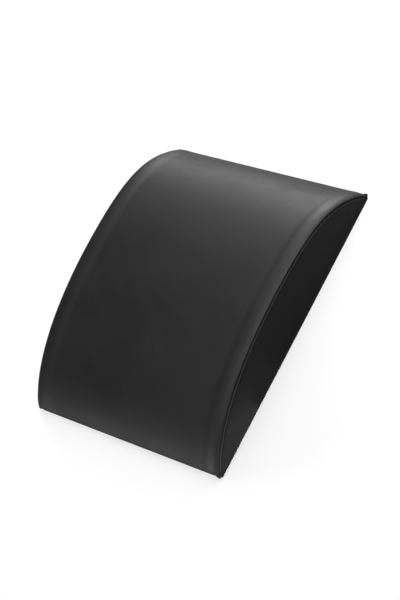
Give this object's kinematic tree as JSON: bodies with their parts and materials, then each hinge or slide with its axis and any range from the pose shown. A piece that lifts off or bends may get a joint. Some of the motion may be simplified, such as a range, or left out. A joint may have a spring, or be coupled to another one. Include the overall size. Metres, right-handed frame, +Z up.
{
  "type": "ab mat",
  "caption": "Curved sit-up mat that supports the lower back: a foam wedge in a sewn vinyl cover with raised seam ridges, a flat base and a zip across the base.",
  "frame": {"origin": "middle of the base, on the floor", "axes": "+X across the mat, +Y along it towards the steeper end, +Z up"},
  "size_m": [0.305, 0.362, 0.064],
  "materials": {
    "vinyl": "satin black vinyl with a fine, almost smooth grain",
    "foam": "moulded open-cell foam, matte",
    "zip_tape": "woven tape, matte",
    "zip_coil": "nylon monofilament",
    "zip_metal": "black enamel",
    "thread": "bonded thread, dull"
  },
  "bodies": {
    "mat": {"foam_core": "foam", "top_panel": "vinyl", "right_side_panel": "vinyl", "left_side_panel": "vinyl", "base_panel": "vinyl", "base_end_strip": "vinyl", "right_top_seam_thread": "thread", "left_top_seam_thread": "thread", "right_base_seam_thread": "thread", "left_base_seam_thread": "thread", "far_end_seam_thread": "thread", "near_end_seam_thread": "thread", "far_hem_stitching": "thread", "near_hem_stitching": "thread", "closed_end_tack": "thread", "open_end_tack": "thread", "far_zip_tape": "zip_tape", "near_zip_tape": "zip_tape", "far_zip_coil": "zip_coil", "near_zip_coil": "zip_coil", "far_top_stop": "zip_metal", "near_top_stop": "zip_metal", "bottom_stop": "zip_metal"},
    "slider": {"zip_slider": "zip_metal"},
    "pull": {"zip_pull": "zip_metal"}
  },
  "joints": [
    {"name": "zip_slide", "type": "slide", "parent": "mat", "child": "slider", "axis": [-1, 0, 0], "range_m": [0, 0.231], "deforming": ["far_zip_tape", "near_zip_tape", "far_zip_coil", "near_zip_coil"]},
    {"name": "pull_hinge", "type": "hinge", "parent": "slider", "child": "pull", "pos_m": [0.1155, 0.13, 0.00128], "axis": [0, -1, 0], "range_deg": [0, 150]}
  ]
}
